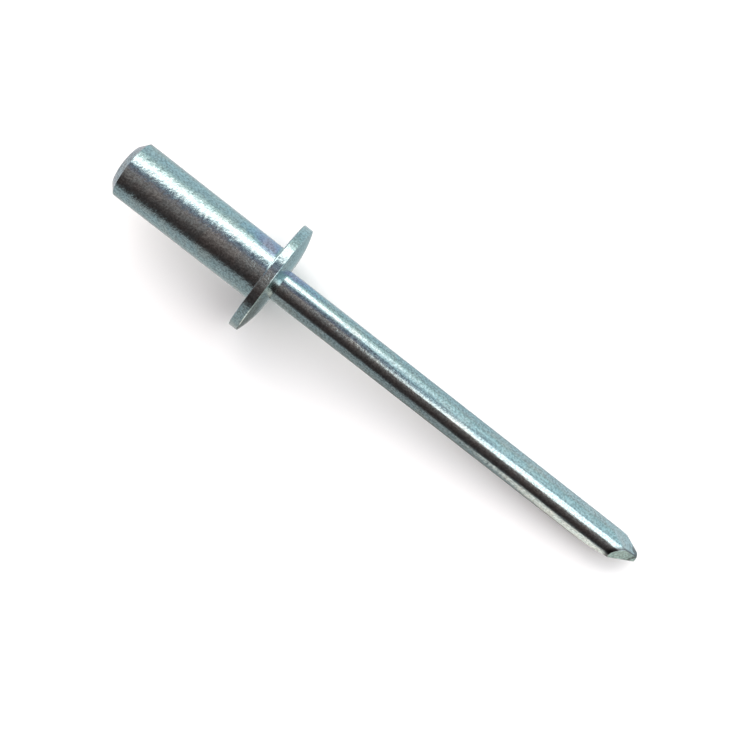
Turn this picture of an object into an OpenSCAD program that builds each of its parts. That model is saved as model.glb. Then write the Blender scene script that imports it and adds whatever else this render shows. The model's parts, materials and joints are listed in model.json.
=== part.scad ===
// Closed-end blind rivet with its pull mandrel, lying at rest on a flat surface.
//
// The shell is one cold-formed piece: a blind shank and a domed flange head. The mandrel is one
// piece of wire: an upset head locked in the shell's cavity, a break neck, a plain stem and a
// four-sided pinched point. Both are drawn along the rivet's own axis, with zero at the underside
// of the head and the point upwards, and are then laid down on the head's edge and the point.

/* [Shank] */
// Nominal rivet diameter, the outside of the shank
shank_d = 4; // [3.6:0.1:4.8]
// Shank length, from the underside of the head to the closed end
shank_l = 11.25; // [8:0.05:20]
// Length of the closed end, from its tip to where the cone round it begins
end_cone_l = 0.66; // [0.3:0.02:1]
// Angle between the axis and the cone round the closed end
end_cone_angle = 50; // [30:1:60]
// Radius of the shallow crown across the closed end
end_crown_r = 4.9; // [4:0.1:10]
// Fillet between the shank and the underside of the head
root_r = 0.12; // [0.05:0.01:0.3]

/* [Flange head] */
// Outside diameter of the head
head_d = 8; // [7:0.1:9]
// Height of the head, from its underside to its top
head_h = 1.12; // [0.9:0.02:1.8]
// Height at which the dome meets the head's outer band
rim_h = 0.66; // [0.4:0.02:0.8]
// Diameter of the level ring in the middle of the dome
level_d = 3; // [2.8:0.1:5]
// Rounding on both edges of the outer band
rim_round_r = 0.08; // [0.03:0.01:0.15]
// Chamfer where the bore opens in the head
mouth_chamfer = 0.12; // [0.05:0.01:0.25]

/* [Bore and cavity] */
// Radial gap between the stem and the bore
bore_gap = 0.03; // [0.01:0.01:0.08]
// Radial gap round the mandrel's head
cavity_gap = 0.03; // [0.01:0.01:0.08]
// Thickness of metal at the closed end
floor_t = 1.5; // [1:0.1:2.5]
// Gap between the mandrel's head and the cavity's floor
floor_gap = 0.2; // [0.05:0.05:0.6]

/* [Mandrel] */
// Diameter of the stem
stem_d = 2.25; // [1.8:0.05:2.4]
// Length of stem that stands out of the head, point included
stem_out = 29.8; // [24:0.1:36]
// Diameter of the mandrel's upset head
upset_d = 2.9; // [2.7:0.05:3.1]
// Length of the mandrel's upset head, shoulder included
upset_l = 2.3; // [1.6:0.1:3]
// Rounding on the end of the mandrel's head
upset_round_r = 0.25; // [0.1:0.05:0.5]
// Length of plain stem between the shoulder and the break neck
neck_gap = 0.5; // [0.2:0.05:1]
// Length of the break neck
neck_l = 0.8; // [0.4:0.05:1.2]
// Diameter left at the bottom of the break neck
neck_d = 1.5; // [1:0.05:1.7]

/* [Point] */
// Angle between the axis and each of the two steep faces
steep_angle = 25.5; // [20:0.5:35]
// Angle between the axis and each of the two shallow faces
shallow_angle = 13; // [10:0.5:20]
// Width across opposite faces where they end
point_flat = 0.4; // [0.3:0.02:0.6]
// How far the pinched end lies off the axis, towards one shallow face
point_offset = 0.28; // [0:0.02:0.32]
// Radius of the dome on the blunt end, at least the stem's own
point_dome_r = 1.3; // [1.2:0.1:2]

/* [Rest] */
// How far the whole rivet has rolled round its own axis where it lies
rest_roll = 34.3; // [0:0.1:90]

/* [Hidden] */
$fn = 96;
shell_colour = [0.76, 0.8, 0.82];
mandrel_colour = [0.66, 0.71, 0.74];
shank_r = shank_d / 2;
head_r = head_d / 2;
level_r = level_d / 2;
stem_r = stem_d / 2;
upset_r = upset_d / 2;
bore_r = stem_r + bore_gap;
cavity_r = upset_r + cavity_gap;

// The dome is one arc that leaves the level ring without a corner and reaches the band at rim_h.
dome_fall = head_h - rim_h;
dome_run = head_r - level_r;
dome_r = (dome_fall * dome_fall + dome_run * dome_run) / (2 * dome_fall);

// The mandrel's shoulder and the cavity's mouth lie on one 45-degree cone, so they seat.
cavity_floor = floor_t - shank_l;
upset_end = cavity_floor + floor_gap;
shoulder_top = upset_end + upset_l;
shoulder_foot = shoulder_top - (upset_r - stem_r);
cavity_top = shoulder_top - bore_gap;
cavity_side_top = cavity_top - (cavity_r - bore_r);

neck_foot = shoulder_top + neck_gap;
neck_top = neck_foot + neck_l;
point_end = head_h + stem_out;

// The point's four faces: place round the axis, slope, and distance from the axis at the end.
point_faces = [
    [0, steep_angle, point_flat / 2],
    [180, steep_angle, point_flat / 2],
    [90, shallow_angle, point_flat / 2 + point_offset],
    [270, shallow_angle, point_flat / 2 - point_offset]
];

// At rest the head stands on the rounding at the dome side of its band.
band_edge = edge_centre(head_r, level_r, dome_r, rim_round_r) + [0, head_h];
rest_tilt = min([for (turn = [-90:0.25:90]) tilt_on(turn)]);
rest_height = band_edge.x * cos(rest_tilt) + band_edge.y * sin(rest_tilt) + rim_round_r;
low_end = (end_crown_r - shank_l) * cos(rest_tilt) - end_crown_r;
high_end = (point_end - point_dome_r) * cos(rest_tilt) + point_dome_r;

// Centre of the edge rounding of a crowned outline whose level top is at height zero.
function edge_centre(radius, level, crown_r, edge_r) =
    [radius - edge_r, sqrt(pow(crown_r - edge_r, 2) - pow(radius - edge_r - level, 2)) - crown_r];

// Where the stem's round side ends, on the line that is turned this far from straight down.
function side_end(turn) =
    point_end - max([0, for (face = point_faces)
        (stem_r * cos(turn - rest_roll - face[0]) - face[2]) / tan(face[1])]);

// Tilt at which the band's edge and the end of that line are at the same height.
function tilt_on(turn) =
    let (drop = band_edge.x - stem_r * cos(turn), reach = side_end(turn) - band_edge.y)
    atan(drop / reach) + asin(rim_round_r / norm([drop, reach]));

// Half outline of a crowned end: level in the middle, then one wide arc, then the rounded edge.
module crowned_outline(radius, level, crown_r, edge_r, depth) {
    crown_c = [level, -crown_r];
    edge_c = edge_centre(radius, level, crown_r, edge_r);
    sweep = (edge_c - crown_c) * 2 * crown_r / (crown_r - edge_r);
    intersection() {
        translate(crown_c)
            circle(crown_r);
        polygon([crown_c, crown_c + sweep, crown_c + [0, 2 * crown_r]]);
        translate([level, -depth])
            square([radius - level, depth]);
    }
    translate(edge_c)
        circle(edge_r);
    translate([0, -depth])
        square([radius, depth + edge_c.y]);
    if (level > 0)
        translate([0, -depth])
            square([level, depth]);
}

// Half outline of a flat end with a rounded edge, on top of height zero.
module rounded_outline(radius, edge_r, height) {
    square([radius - edge_r, height]);
    translate([0, edge_r])
        square([radius, height - edge_r]);
    translate([radius - edge_r, edge_r])
        circle(edge_r);
}

module shank_outline() {
    mirror([0, 1])
        translate([0, shank_l])
            intersection() {
                crowned_outline(shank_r, 0, end_crown_r, rim_round_r, shank_l);
                polygon([
                    [0, -shank_l],
                    [shank_r, -shank_l],
                    [shank_r, -end_cone_l],
                    [shank_r - end_cone_l * tan(end_cone_angle), 0],
                    [0, 0]
                ]);
            }
    difference() {
        translate([shank_r, -root_r])
            square(root_r);
        translate([shank_r + root_r, -root_r])
            circle(root_r);
    }
}

module head_outline() {
    translate([0, head_h])
        crowned_outline(head_r, level_r, dome_r, rim_round_r, head_h - rim_round_r);
    rounded_outline(head_r, rim_round_r, rim_h / 2);
}

// Blind bore, with the wide cavity at its bottom and a small chamfer at its mouth.
module bore_outline() {
    translate([0, cavity_floor])
        rounded_outline(cavity_r, upset_round_r, cavity_side_top - cavity_floor);
    polygon([
        [0, cavity_side_top],
        [cavity_r, cavity_side_top],
        [bore_r, cavity_top],
        [bore_r, head_h - mouth_chamfer],
        [bore_r + 2 * mouth_chamfer, head_h + mouth_chamfer],
        [0, head_h + mouth_chamfer]
    ]);
}

// Upset head, shoulder, break neck and stem, up to a domed end.
module mandrel_outline() {
    dome_foot = point_end - point_dome_r;
    translate([0, upset_end])
        rounded_outline(upset_r, upset_round_r, shoulder_foot - upset_end);
    polygon([
        [0, shoulder_foot],
        [upset_r, shoulder_foot],
        [stem_r, shoulder_top],
        [stem_r, neck_foot],
        [neck_d / 2, neck_foot + neck_l / 2],
        [stem_r, neck_top],
        [stem_r, dome_foot],
        [0, dome_foot]
    ]);
    intersection() {
        translate([0, dome_foot])
            circle(point_dome_r);
        translate([0, dome_foot])
            square([stem_r, point_dome_r]);
    }
}

// What one die takes off the point: everything outside one sloping face.
module point_face(slope, distance) {
    length = 2 * stem_d / sin(slope);
    translate([distance, 0, point_end])
        rotate([0, -slope, 0])
            translate([0, -stem_d, -length])
                cube([length, 2 * stem_d, 2 * length]);
}

// From the rivet's own axis to its place at rest, centred along X on the floor.
module lay_down() {
    translate([-(low_end + high_end) / 2, 0, rest_height])
        rotate([0, 90 + rest_tilt, 0])
            rotate(rest_roll)
                children();
}

module rivet_body() {
    color(shell_colour)
        lay_down()
            rotate_extrude()
                difference() {
                    union() {
                        shank_outline();
                        head_outline();
                    }
                    bore_outline();
                }
}

module mandrel() {
    color(mandrel_colour)
        lay_down()
            difference() {
                rotate_extrude()
                    mandrel_outline();
                for (face = point_faces)
                    rotate(face[0])
                        point_face(face[1], face[2]);
            }
}

rivet_body();
mandrel();
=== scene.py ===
"""Looks of the closed-end blind rivet: zinc-plated shell and mandrel on a pale floor."""

import json
import math

import bpy
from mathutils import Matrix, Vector

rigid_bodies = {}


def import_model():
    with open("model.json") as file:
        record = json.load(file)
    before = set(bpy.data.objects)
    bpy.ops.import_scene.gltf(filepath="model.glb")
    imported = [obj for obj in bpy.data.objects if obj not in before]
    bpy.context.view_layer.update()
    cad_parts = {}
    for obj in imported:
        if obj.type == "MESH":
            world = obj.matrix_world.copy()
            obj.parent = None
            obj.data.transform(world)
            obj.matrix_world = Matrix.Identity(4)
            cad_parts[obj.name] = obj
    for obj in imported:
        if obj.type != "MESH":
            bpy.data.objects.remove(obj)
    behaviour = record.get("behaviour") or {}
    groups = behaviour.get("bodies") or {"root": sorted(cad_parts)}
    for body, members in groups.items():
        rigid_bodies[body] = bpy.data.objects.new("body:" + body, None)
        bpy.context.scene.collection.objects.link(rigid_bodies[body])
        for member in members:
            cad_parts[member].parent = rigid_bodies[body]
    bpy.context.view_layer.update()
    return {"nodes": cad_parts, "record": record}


for leftover in list(bpy.data.objects):
    bpy.data.objects.remove(leftover)

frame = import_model()

MM = 0.001

# The rivet's own axis runs from the middle of the head's underside, dipping towards the point.
mounts = {m["name"]: m for m in frame["record"]["mounts"]}
axis = Vector(mounts["stem"]["axis"])
seat = mounts["head_seat"]["pos_m"]
head_foot = Vector((seat[0], 0, seat[2]))
tilt = math.atan2(-axis.z, axis.x)

# In millimetres along the axis, from the head's underside: the head's top and the point's end.
HEAD_H = 1.12
STEM_OUT = 29.8
POINT_END = HEAD_H + STEM_OUT

# The point's upper cut towards -Y: its place round the axis, its slope, and its distance from the
# axis at the point's end.
CUT_PLACE = math.radians(214.3)
CUT_SLOPE = math.radians(25.5)
CUT_OFF = 0.2


# ---------------------------------------------------------------- node helpers


class Nodes:
    """Short calls for building one node tree."""

    def __init__(self, tree):
        self.tree = tree
        tree.nodes.clear()

    def add(self, kind, **settings):
        node = self.tree.nodes.new(kind)
        for name, value in settings.items():
            setattr(node, name, value)
        return node

    def join(self, source, target):
        self.tree.links.new(source, target)

    def feed(self, socket, value):
        """Puts a number, a colour or another node's output into a socket."""
        if isinstance(value, bpy.types.NodeSocket):
            self.join(value, socket)
        else:
            socket.default_value = value

    def finish(self, shader, output_kind):
        self.join(shader.outputs[0], self.add(output_kind).inputs["Surface"])

    def math(self, operation, a, b=0.0, c=0.0):
        node = self.add("ShaderNodeMath", operation=operation)
        for socket, value in zip(node.inputs, (a, b, c)):
            self.feed(socket, value)
        return node.outputs[0]

    def times(self, first, *others):
        for other in others:
            first = self.math("MULTIPLY", first, other)
        return first

    def total(self, first, *others):
        for other in others:
            first = self.math("ADD", first, other)
        return first

    def vector(self, operation, a, b, output="Vector"):
        node = self.add("ShaderNodeVectorMath", operation=operation)
        self.feed(node.inputs[0], a)
        self.feed(node.inputs[1], b)
        return node.outputs[output]

    def split(self, vector):
        node = self.add("ShaderNodeSeparateXYZ")
        self.join(vector, node.inputs[0])
        return node.outputs

    def ramp(self, factor, stops):
        """A colour from a row of (place, colour) stops."""
        node = self.add("ShaderNodeValToRGB")
        elements = node.color_ramp.elements
        while len(elements) > 1:
            elements.remove(elements[-1])
        for i, (place, colour) in enumerate(stops):
            element = elements[0] if i == 0 else elements.new(place)
            element.position = place
            element.color = (*colour, 1)
        self.join(factor, node.inputs[0])
        return node.outputs[0]

    def ring(self, degrees, stops):
        """A colour from stops that are placed by angle, from -180 to 180 degrees."""
        share = self.math("MULTIPLY_ADD", degrees, 1 / 360, 0.5)
        return self.ramp(share, [((angle + 180) / 360, colour) for angle, colour in stops])

    def mix(self, factor, a, b, blend="MIX"):
        node = self.add("ShaderNodeMix", data_type="RGBA", blend_type=blend)
        self.feed(node.inputs[0], factor)
        for socket, value in ((node.inputs[6], a), (node.inputs[7], b)):
            if isinstance(value, tuple):
                value = (*value, 1)
            self.feed(socket, value)
        return node.outputs[2]

    def span(self, value, low, high, out_high=1.0):
        """Goes softly from 0 at low to out_high at high, and stays there; low may be the larger."""
        node = self.add("ShaderNodeMapRange", interpolation_type="SMOOTHSTEP")
        for socket, number in zip(node.inputs, (value, low, high, 0.0, out_high)):
            self.feed(socket, number)
        return node.outputs[0]

    def window(self, value, start, full, fading, end):
        """Is 0 outside start and end, and 1 between full and fading."""
        return self.times(self.span(value, start, full), self.span(value, end, fading))

    def noise(self, place, scale, detail=3.0, rough=0.55, warp=0.0):
        node = self.add("ShaderNodeTexNoise")
        self.feed(node.inputs["Vector"], place)
        self.feed(node.inputs["Scale"], scale)
        self.feed(node.inputs["Detail"], detail)
        self.feed(node.inputs["Roughness"], rough)
        self.feed(node.inputs["Distortion"], warp)
        return node.outputs[0]


# ---------------------------------------------------------------- zinc plating

# Tint of the passivation film on the zinc, from its plain places to its most coloured ones.
FILM = [
    (0.18, (0.92, 0.92, 0.84)),
    (0.32, (0.68, 0.90, 0.92)),
    (0.46, (0.88, 0.92, 0.88)),
    (0.60, (0.60, 0.84, 0.96)),
    (0.74, (0.66, 0.68, 1.00)),
    (0.88, (0.92, 0.70, 0.90)),
]
FILM_SHARE = 0.4
DULL_SHARE = 0.60
LINE_COLOUR = (0.30, 0.34, 0.36)
FLECK_COLOUR = (0.12, 0.13, 0.14)
# Painted shade along the edges of the point's upper cut, then the dark patches near the blunt end.
CUT_EDGE_SHADE_COLOUR = (0.06, 0.07, 0.075)
END_PATCH_COLOUR = (0.07, 0.08, 0.085)

# How fine each pattern is, per millimetre, and how much the draw marks are stretched.
GRAIN_RATE = 7.0
FLECK_RATE = 16.0
LINE_RATE = 9.0
CLOUD_RATE = 0.55
END_PATCH_RATE = 2.2
DENT_RATE = 3.2
WAVE_RATE = 1.1
GROOVE_RATE = 3.0
DRAWN_OUT = (1, 1, 0.06)

# Height of the relief in millimetres, before each piece's own share of it.
GRAIN_DEPTH = 0.008
DENT_DEPTH = 0.020
WAVE_DEPTH = 0.014
LINE_DEPTH = 0.004
GROOVE_DEPTH = 0.008


def along_axis(n):
    """Millimetres in the rivet's own frame: z from the head's underside towards the point."""
    here = n.add("ShaderNodeTexCoord").outputs["Object"]
    from_foot = n.vector("SUBTRACT", here, tuple(head_foot))
    turn = n.add("ShaderNodeVectorRotate", rotation_type="Y_AXIS")
    n.join(from_foot, turn.inputs["Vector"])
    turn.inputs["Angle"].default_value = -(math.pi / 2 + tilt)
    return n.vector("MULTIPLY", turn.outputs[0], (1 / MM,) * 3)


def cut_shade_and_end_patches(n, place, grain, colour):
    """Painted shade as a dark line along the edges of the point's upper cut, and dark patches in
    noise near the blunt end.
    """
    cut_out = (
        math.cos(CUT_PLACE) * math.cos(CUT_SLOPE),
        math.sin(CUT_PLACE) * math.cos(CUT_SLOPE),
        math.sin(CUT_SLOPE),
    )
    cut_far = CUT_OFF * math.cos(CUT_SLOPE) + POINT_END * math.sin(CUT_SLOPE)
    over_cut = n.math("SUBTRACT", n.vector("DOT_PRODUCT", place, cut_out, "Value"), cut_far)
    # Painted shade: a thin dark band just off the upper cut, along its edges.
    cut_edge_shade = n.times(n.window(over_cut, -0.24, -0.06, -0.012, -0.004), n.span(grain, 0.25, 0.45))
    colour = n.mix(n.times(cut_edge_shade, 0.95), colour, CUT_EDGE_SHADE_COLOUR)
    near_end = n.span(n.split(place)[2], POINT_END - 1.1, POINT_END - 0.4)
    # Dark patches in noise, rising over the last millimetre or so before the blunt end.
    end_patches = n.times(near_end, n.span(n.noise(place, END_PATCH_RATE), 0.44, 0.52))
    return n.mix(n.times(end_patches, 0.85), colour, END_PATCH_COLOUR)


def zinc(name, tone, streak, speckle, film_zone, pits, draws, point_shade_and_patches=False):
    """Bright zinc plating: draw marks along the axis, specks, a faint rainbow film, small dents.

    streak and speckle are the strengths of the dark lines and flecks. film_zone is the stretch of
    the axis where the film on the +Y side is most coloured. pits and draws scale the relief of the
    dents and of the draw marks.
    """
    material = bpy.data.materials.new(name)
    material.use_nodes = True
    n = Nodes(material.node_tree)
    place = along_axis(n)
    drawn = n.vector("MULTIPLY", place, DRAWN_OUT)
    grain = n.noise(place, GRAIN_RATE, 5.0, 0.7)
    flecks = n.span(n.noise(place, FLECK_RATE, 2.0, 0.6), 0.6, 0.75)
    lines = n.noise(drawn, LINE_RATE, 3.0, 0.6)
    cloud = n.noise(place, CLOUD_RATE, 3.0, 0.6, 0.6)

    dull = tuple(c * DULL_SHARE for c in tone)
    colour = n.mix(n.span(grain, 0.38, 0.60), dull, tone)
    colour = n.mix(n.times(n.span(lines, 0.5, 0.72), streak), colour, LINE_COLOUR)
    colour = n.mix(n.times(flecks, speckle), colour, FLECK_COLOUR)
    facing = n.split(n.add("ShaderNodeNewGeometry").outputs["True Normal"])[1]
    near_head = n.times(n.window(n.split(place)[2], *film_zone), n.span(facing, 0.35, 0.75))
    phase = n.math("MULTIPLY_ADD", near_head, 0.5, n.math("MULTIPLY_ADD", cloud, 0.9, -0.15))
    film_share = n.math("MULTIPLY_ADD", near_head, 0.4, FILM_SHARE)
    colour = n.mix(film_share, colour, n.ramp(phase, FILM), "MULTIPLY")
    # On the mandrel: painted shade along the point's cut edges, and dark patches near its end.
    if point_shade_and_patches:
        colour = cut_shade_and_end_patches(n, place, grain, colour)

    relief = n.total(
        n.times(grain, GRAIN_DEPTH * pits),
        n.times(n.noise(place, DENT_RATE, 2.0, 0.6), DENT_DEPTH * pits),
        n.times(n.noise(place, WAVE_RATE, 1.0, 0.5), WAVE_DEPTH * pits),
        n.times(lines, LINE_DEPTH * draws),
        n.times(n.noise(drawn, GROOVE_RATE, 2.0, 0.6), GROOVE_DEPTH * draws),
    )
    bump = n.add("ShaderNodeBump")
    bump.inputs["Strength"].default_value = 1.0
    bump.inputs["Distance"].default_value = MM
    n.join(relief, bump.inputs["Height"])

    shader = n.add("ShaderNodeBsdfPrincipled")
    n.join(colour, shader.inputs["Base Color"])
    shader.inputs["Metallic"].default_value = 1.0
    sheen = n.total(n.math("MULTIPLY_ADD", grain, 0.16, 0.04), n.times(flecks, 0.12))
    n.join(sheen, shader.inputs["Roughness"])
    n.join(bump.outputs[0], shader.inputs["Normal"])
    n.finish(shader, "ShaderNodeOutputMaterial")
    return material


shell_zinc = zinc(
    "shell_zinc", (0.49, 0.59, 0.605), streak=0.35, speckle=0.5,
    film_zone=(-5.0, -0.7, -0.35, 0.0), pits=0.85, draws=0.6,
)
mandrel_zinc = zinc(
    "mandrel_zinc", (0.48, 0.57, 0.585), streak=0.55, speckle=0.65,
    film_zone=(0.6, 1.1, 1.6, 7.0), pits=0.3, draws=1.3, point_shade_and_patches=True,
)
for node_name, material in (("rivet_body", shell_zinc), ("mandrel", mandrel_zinc)):
    for slot in frame["nodes"][node_name].material_slots:
        slot.material = material


# ---------------------------------------------------------------- floor, backdrop and light

# In metres: where the floor stops being flat, its raised lip, and the backdrop's top.
FLOOR_R = 0.9
LIP_R = 1.0
LIP_H = 0.13
WALL_H = 0.6
RING_SIDES = 96


def ring_mesh(name, rings):
    """A turned sheet through (radius, height) rings, closed across the first one."""
    verts = []
    faces = []
    for radius, height in rings:
        for i in range(RING_SIDES):
            a = 2 * math.pi * i / RING_SIDES
            verts.append((radius * math.cos(a), radius * math.sin(a), height))
    for r in range(len(rings) - 1):
        for i in range(RING_SIDES):
            j = (i + 1) % RING_SIDES
            low = r * RING_SIDES
            high = low + RING_SIDES
            faces.append((low + i, low + j, high + j, high + i))
    faces.append(tuple(reversed(range(RING_SIDES))))
    mesh = bpy.data.meshes.new(name)
    mesh.from_pydata(verts, [], faces)
    mesh.update()
    mesh.shade_smooth()
    made = bpy.data.objects.new(name, mesh)
    bpy.context.scene.collection.objects.link(made)
    return made


def paper(name, colour, glow):
    """Matt paper; glow is the strength of its own even light."""
    material = bpy.data.materials.new(name)
    material.use_nodes = True
    n = Nodes(material.node_tree)
    shader = n.add("ShaderNodeBsdfPrincipled")
    shader.inputs["Base Color"].default_value = (*colour, 1)
    shader.inputs["Roughness"].default_value = 0.9
    shader.inputs["Specular IOR Level"].default_value = 0.1
    shader.inputs["Emission Color"].default_value = (1, 1, 1, 1)
    shader.inputs["Emission Strength"].default_value = glow
    n.finish(shader, "ShaderNodeOutputMaterial")
    return material


# The metal mirrors the surroundings alone: neither sheet nor lamp shows in it.
floor = ring_mesh("floor", [(0.02, 0), (0.3, 0), (FLOOR_R, 0), (0.97, 0.03), (LIP_R, LIP_H)])
floor.data.materials.append(paper("floor_paper", (0.9, 0.9, 0.9), 0.0))
floor.visible_glossy = False
backdrop = ring_mesh("backdrop", [(LIP_R, LIP_H), (LIP_R, WALL_H)])
backdrop.data.materials.append(paper("backdrop_paper", (0, 0, 0), 0.86))
backdrop.visible_glossy = False
backdrop.visible_diffuse = False
backdrop.visible_shadow = False

OVERHEAD_FROM = (-0.2, 0.35, 0.9)
overhead_data = bpy.data.lights.new("overhead", "SUN")
overhead_data.energy = 1.9
overhead_data.angle = math.radians(110)
overhead = bpy.data.objects.new("overhead", overhead_data)
overhead.rotation_euler = Vector(OVERHEAD_FROM).to_track_quat("Z", "Y").to_euler()
overhead.visible_glossy = False
bpy.context.scene.collection.objects.link(overhead)


# ---------------------------------------------------------------- surroundings

# Radiance by angle across the rivet, from straight up, positive towards +Y: a dark side towards
# -Y, a bright band towards +Y, and from below a pale light that is teal on the +Y side.
BANDS = [
    (-180, (0.62, 0.62, 0.60)),
    (-135, (0.60, 0.62, 0.62)),
    (-100, (0.56, 0.60, 0.62)),
    (-84, (0.46, 0.47, 0.48)),
    (-76, (0.12, 0.10, 0.10)),
    (-68, (0.068, 0.052, 0.052)),
    (-56, (0.075, 0.052, 0.050)),
    (-44, (0.110, 0.077, 0.073)),
    (-33, (0.17, 0.122, 0.115)),
    (-22, (0.28, 0.215, 0.205)),
    (-11, (0.41, 0.315, 0.30)),
    (0, (0.47, 0.36, 0.345)),
    (11, (0.24, 0.22, 0.30)),
    (24, (0.32, 0.38, 0.44)),
    (33, (1.5, 1.55, 1.6)),
    (38, (3.4, 3.1, 3.0)),
    (56, (3.4, 3.1, 3.0)),
    (65, (1.5, 1.6, 1.5)),
    (74, (0.85, 0.98, 0.95)),
    (84, (0.70, 0.82, 0.84)),
    (100, (0.72, 0.86, 0.92)),
    (120, (0.74, 0.92, 0.99)),
    (180, (0.62, 0.62, 0.60)),
]
# The same, for the directions far ahead that the point's cuts mirror.
AHEAD_BANDS = [
    (-180, (0.36, 0.42, 0.42)),
    (-100.8, (1.10, 1.10, 0.95)),
    (0, (0.34, 0.37, 0.38)),
    (90, (0.55, 0.62, 0.66)),
    (180, (0.36, 0.42, 0.42)),
]
# What changes the bands along the rivet and towards its ends.
BAND_TEAL = (0.82, 1.06, 1.12)
GAP_TEAL = (0.62, 0.76, 0.84)
STRIP_LIGHT = (2.3, 2.2, 2.15)
LOW_SHARE = (0.80, 0.76, 0.74)
LOW_LIGHT = (1.3, 1.05, 0.9)
HIGH_LIGHT = (0.20, 0.14, 0.13)
BEHIND_GLOW = (0.80, 0.74, 0.78)
DOWN_DIM = (0.16, 0.175, 0.17)
DOWN_TEAL = (0.42, 0.56, 0.60)

# In degrees: about half of what the axis's dip adds to the lengthwise angle of what the rivet's
# top line mirrors; and the bands' turn on the shank, a straight line by station between two limits.
DIP_LIFT = 5.65
TURN_RATE = -2.09
TURN_AT_ZERO = -28.2
TURN_MAX = 12
TURN_MIN = -7


def swung(n, across, lengthwise):
    """The angle across, turned a little along the shank, so that the bands aren't quite straight.

    The station is the lengthwise angle less what the dip adds to it: about the angle, seen from the
    camera, between the middle of the rivet and the place along it that mirrors this direction.
    """
    over = n.math("COSINE", n.math("RADIANS", across))
    station = n.math("SUBTRACT", lengthwise, n.math("MULTIPLY_ADD", over, DIP_LIFT, DIP_LIFT))
    turn = n.math("MULTIPLY_ADD", station, TURN_RATE, TURN_AT_ZERO)
    turn = n.math("MAXIMUM", n.math("MINIMUM", turn, TURN_MAX), TURN_MIN)
    return n.total(across, n.times(turn, n.span(station, 2, -2)))


def surroundings_glow(n):
    """Colour of the light from each direction."""
    dx, dy, dz = n.split(n.add("ShaderNodeTexCoord").outputs["Generated"])
    across = n.math("DEGREES", n.math("ARCTAN2", dy, dz))
    flat = n.math("SQRT", n.total(n.times(dy, dy), n.times(dz, dz)))
    lengthwise = n.math("DEGREES", n.math("ARCTAN2", dx, flat))
    turned = swung(n, across, lengthwise)
    glow = n.ring(turned, BANDS)

    # Towards the point the bright band fades to teal, and so does the dim gap between it and the top.
    lit = n.window(turned, 24, 34, 68, 80)
    glow = n.mix(n.times(lit, n.span(lengthwise, 1, 15.5, 0.95)), glow, BAND_TEAL)
    gap = n.times(n.window(across, 4, 14, 24, 34), n.span(lengthwise, 9, 17))
    glow = n.mix(gap, glow, GAP_TEAL)

    # A second bright strip begins part way along the stem, near the top, and widens to the point.
    strip_top = n.math("MULTIPLY_ADD", lengthwise, 1.6, -9.0)
    below_top = n.span(n.math("SUBTRACT", strip_top, across), 0, 8)
    strip = n.times(n.window(across, -12, -4, 18, 28), below_top, n.span(lengthwise, 10.5, 14.5))
    glow = n.mix(strip, glow, STRIP_LIGHT, "ADD")

    # From below, the light on the -Y side is dimmer along the stem and bright near the point, and
    # the light on the +Y side rises a little towards the point.
    low_side = n.window(across, -178, -160, -90, -80)
    glow = n.mix(n.times(low_side, n.span(lengthwise, -6, -4)), glow, LOW_SHARE, "MULTIPLY")
    glow = n.mix(n.times(low_side, n.window(lengthwise, 12, 15.5, 34, 46)), glow, LOW_LIGHT, "ADD")
    high_side = n.times(n.span(across, 76, 90), n.span(lengthwise, 6, 18))
    glow = n.mix(high_side, glow, HIGH_LIGHT, "ADD")

    # What the point's cuts mirror, then the closed end, then the head's dome.
    glow = n.mix(n.span(lengthwise, 36, 52, 0.8), glow, n.ring(across, AHEAD_BANDS))
    behind = n.times(n.span(lengthwise, -22, -36), n.span(n.math("ABSOLUTE", across), 80, 120))
    glow = n.mix(behind, glow, BEHIND_GLOW)
    down = n.times(n.span(dz, -0.70, -0.90), n.span(dx, -0.02, 0.03), 0.85)
    down_glow = n.mix(n.span(dy, -0.10, 0.06), DOWN_DIM, DOWN_TEAL)
    return n.mix(down, glow, down_glow)


world = bpy.data.worlds.new("surroundings")
bpy.context.scene.world = world
world.use_nodes = True
n = Nodes(world.node_tree)
background = n.add("ShaderNodeBackground")
background.inputs["Strength"].default_value = 1.0
n.join(surroundings_glow(n), background.inputs["Color"])
n.finish(background, "ShaderNodeOutputWorld")


# ---------------------------------------------------------------- camera

# Above the rivet, looking straight down, and turned so that it lies aslant as in the photo.
CAMERA_AT = (-0.347 * MM, -0.828 * MM, 68.1 * MM)
CAMERA_TURN = math.radians(37.9)
camera_data = bpy.data.cameras.new("camera")
camera_data.lens = 48
camera_data.sensor_width = 36
camera_data.clip_start = 0.001
camera_data.clip_end = 10
camera = bpy.data.objects.new("camera", camera_data)
camera.location = CAMERA_AT
camera.rotation_euler = (0, 0, CAMERA_TURN)
bpy.context.scene.collection.objects.link(camera)
bpy.context.scene.camera = camera
bpy.context.scene.view_settings.view_transform = "Standard"
bpy.context.scene.view_settings.look = "None"
